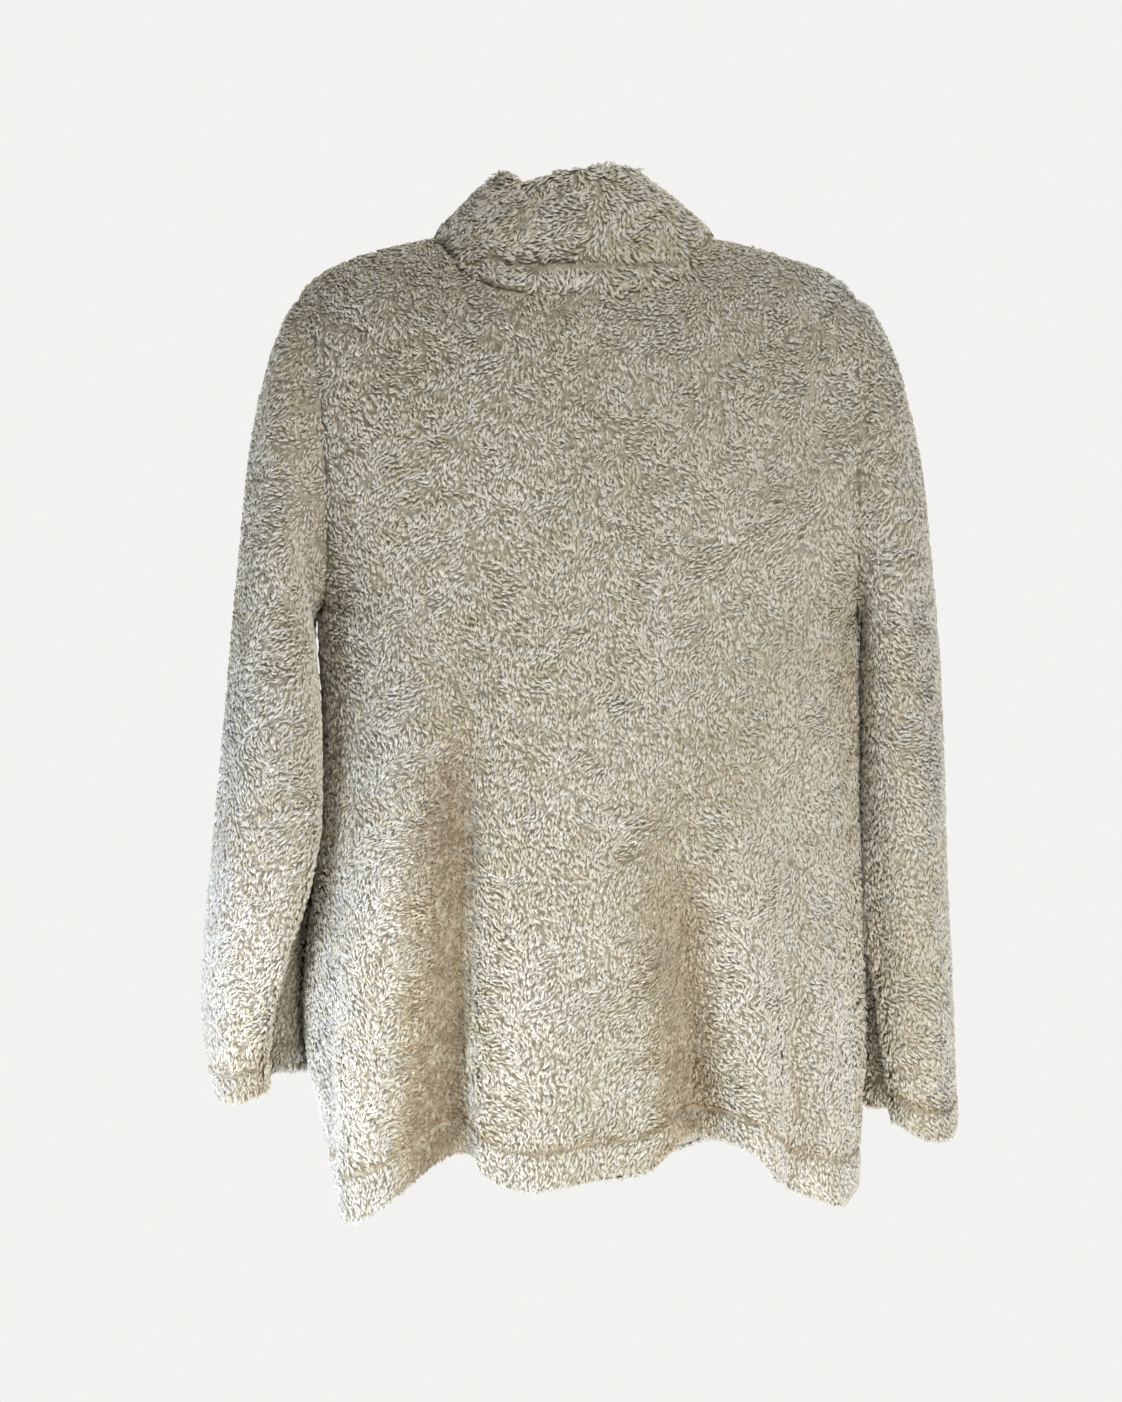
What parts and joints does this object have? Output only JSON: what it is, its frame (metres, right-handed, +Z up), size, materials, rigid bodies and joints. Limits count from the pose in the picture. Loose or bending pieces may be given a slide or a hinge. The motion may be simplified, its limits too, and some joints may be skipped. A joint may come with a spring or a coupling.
{
  "type": "sherpa fleece pullover",
  "caption": "Cream sherpa fleece pullover with a stand collar, dropped shoulders and stitched turn-ups at hem and cuffs, hanging open as when worn",
  "frame": {"origin": "middle of the neck, level with the tops of the shoulders, where the wearer carries the pullover", "axes": "+Z up along the body, +X to the wearer's left, +Y to the wearer's back"},
  "size_m": [0.5479, 0.2429, 0.7565],
  "materials": {
    "back_panel": "deep cream pile of soft locks over a knitted ground",
    "front_panel": "deep cream pile of soft locks over a knitted ground",
    "sleeve_left": "deep cream pile of soft locks over a knitted ground",
    "sleeve_right": "deep cream pile of soft locks over a knitted ground",
    "collar": "deep cream pile of soft locks over a knitted ground"
  },
  "bodies": {
    "root": {"back_panel": "back_panel", "front_panel": "front_panel", "sleeve_left": "sleeve_left", "sleeve_right": "sleeve_right", "collar": "collar"}
  },
  "joints": []
}
